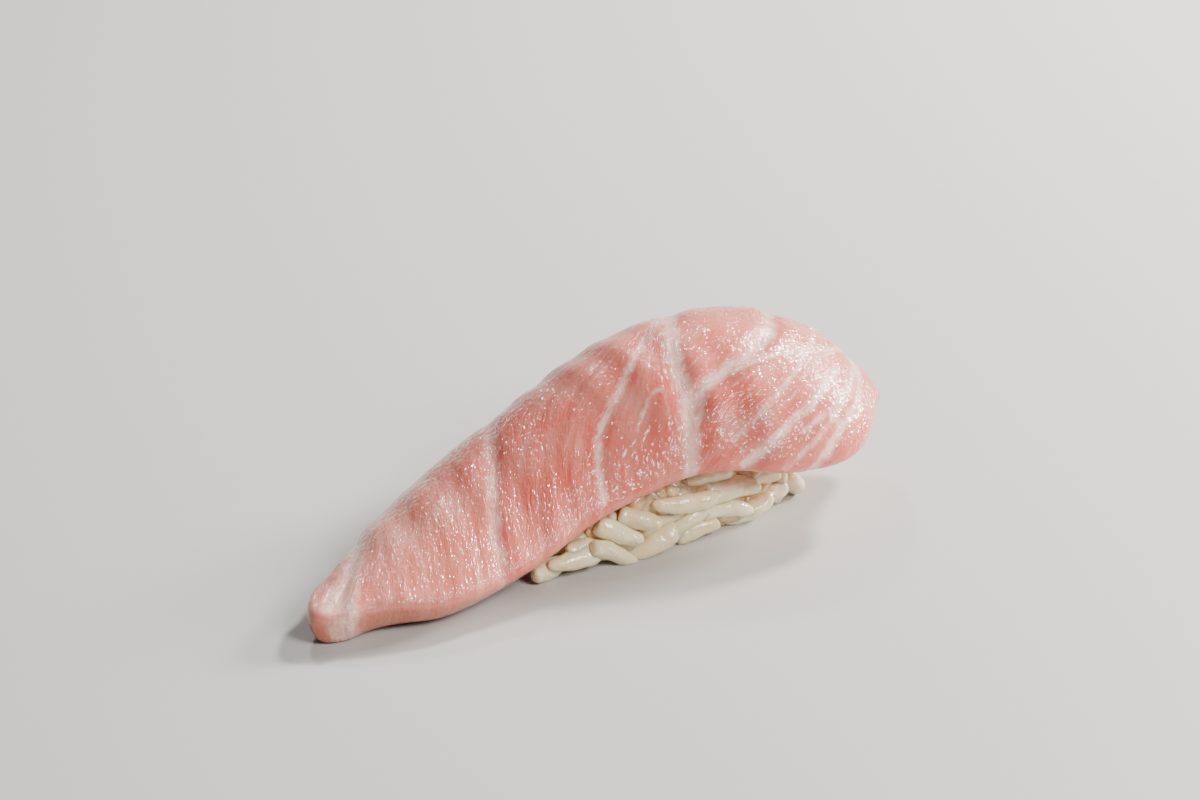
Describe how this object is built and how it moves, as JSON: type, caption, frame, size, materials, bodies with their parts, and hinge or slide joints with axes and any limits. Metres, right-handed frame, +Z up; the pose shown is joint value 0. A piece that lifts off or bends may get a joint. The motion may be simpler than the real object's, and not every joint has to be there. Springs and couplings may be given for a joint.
{
  "type": "nigiri",
  "caption": "Nigiri: a long slice of pale, marbled fatty tuna belly arched over a pressed ball of loose-grained rice, its thin tail lying on the table.",
  "frame": {"origin": "bottom centre of the whole piece's bounding box, on the table", "axes": "+X along the slice from its thin tail to its pointed end, -Y towards the shown side, +Z up"},
  "size_m": [0.0866, 0.0338, 0.024],
  "materials": {
    "flesh": "wet, pale pink raw fish with white seams of fat",
    "cooked_rice": "moist, slightly translucent ivory grains"
  },
  "bodies": {
    "root": {"fish": "flesh", "rice": "cooked_rice"}
  },
  "joints": []
}
